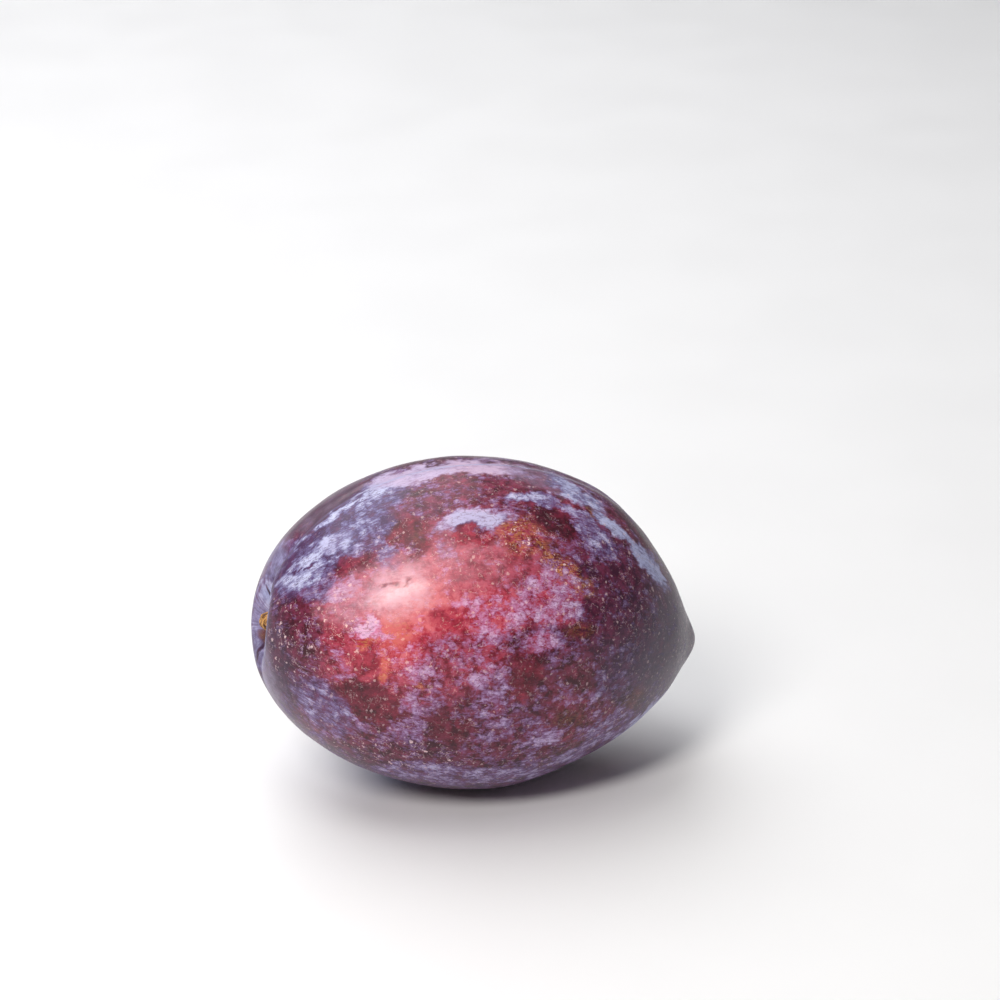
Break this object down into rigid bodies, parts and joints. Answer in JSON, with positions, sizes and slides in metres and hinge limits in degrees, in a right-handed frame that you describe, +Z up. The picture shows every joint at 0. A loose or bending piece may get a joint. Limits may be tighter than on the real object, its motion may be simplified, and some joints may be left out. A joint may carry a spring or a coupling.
{
  "type": "plum",
  "caption": "Oval prune plum lying on its side, with a stem cavity and scar, a shallow suture and a blunt tip.",
  "frame": {"origin": "middle of the small flat spot that the plum rests on", "axes": "+X along the plum from its stem cavity towards its tip, level with the table, +Z up, +Y away from the side that the picture shows"},
  "size_m": [0.0613, 0.0439, 0.045],
  "materials": {
    "skin": "wine-red skin under a patchy grey-lilac waxy bloom, satin where it is bare"
  },
  "bodies": {
    "root": {"plum": "skin"}
  },
  "joints": []
}
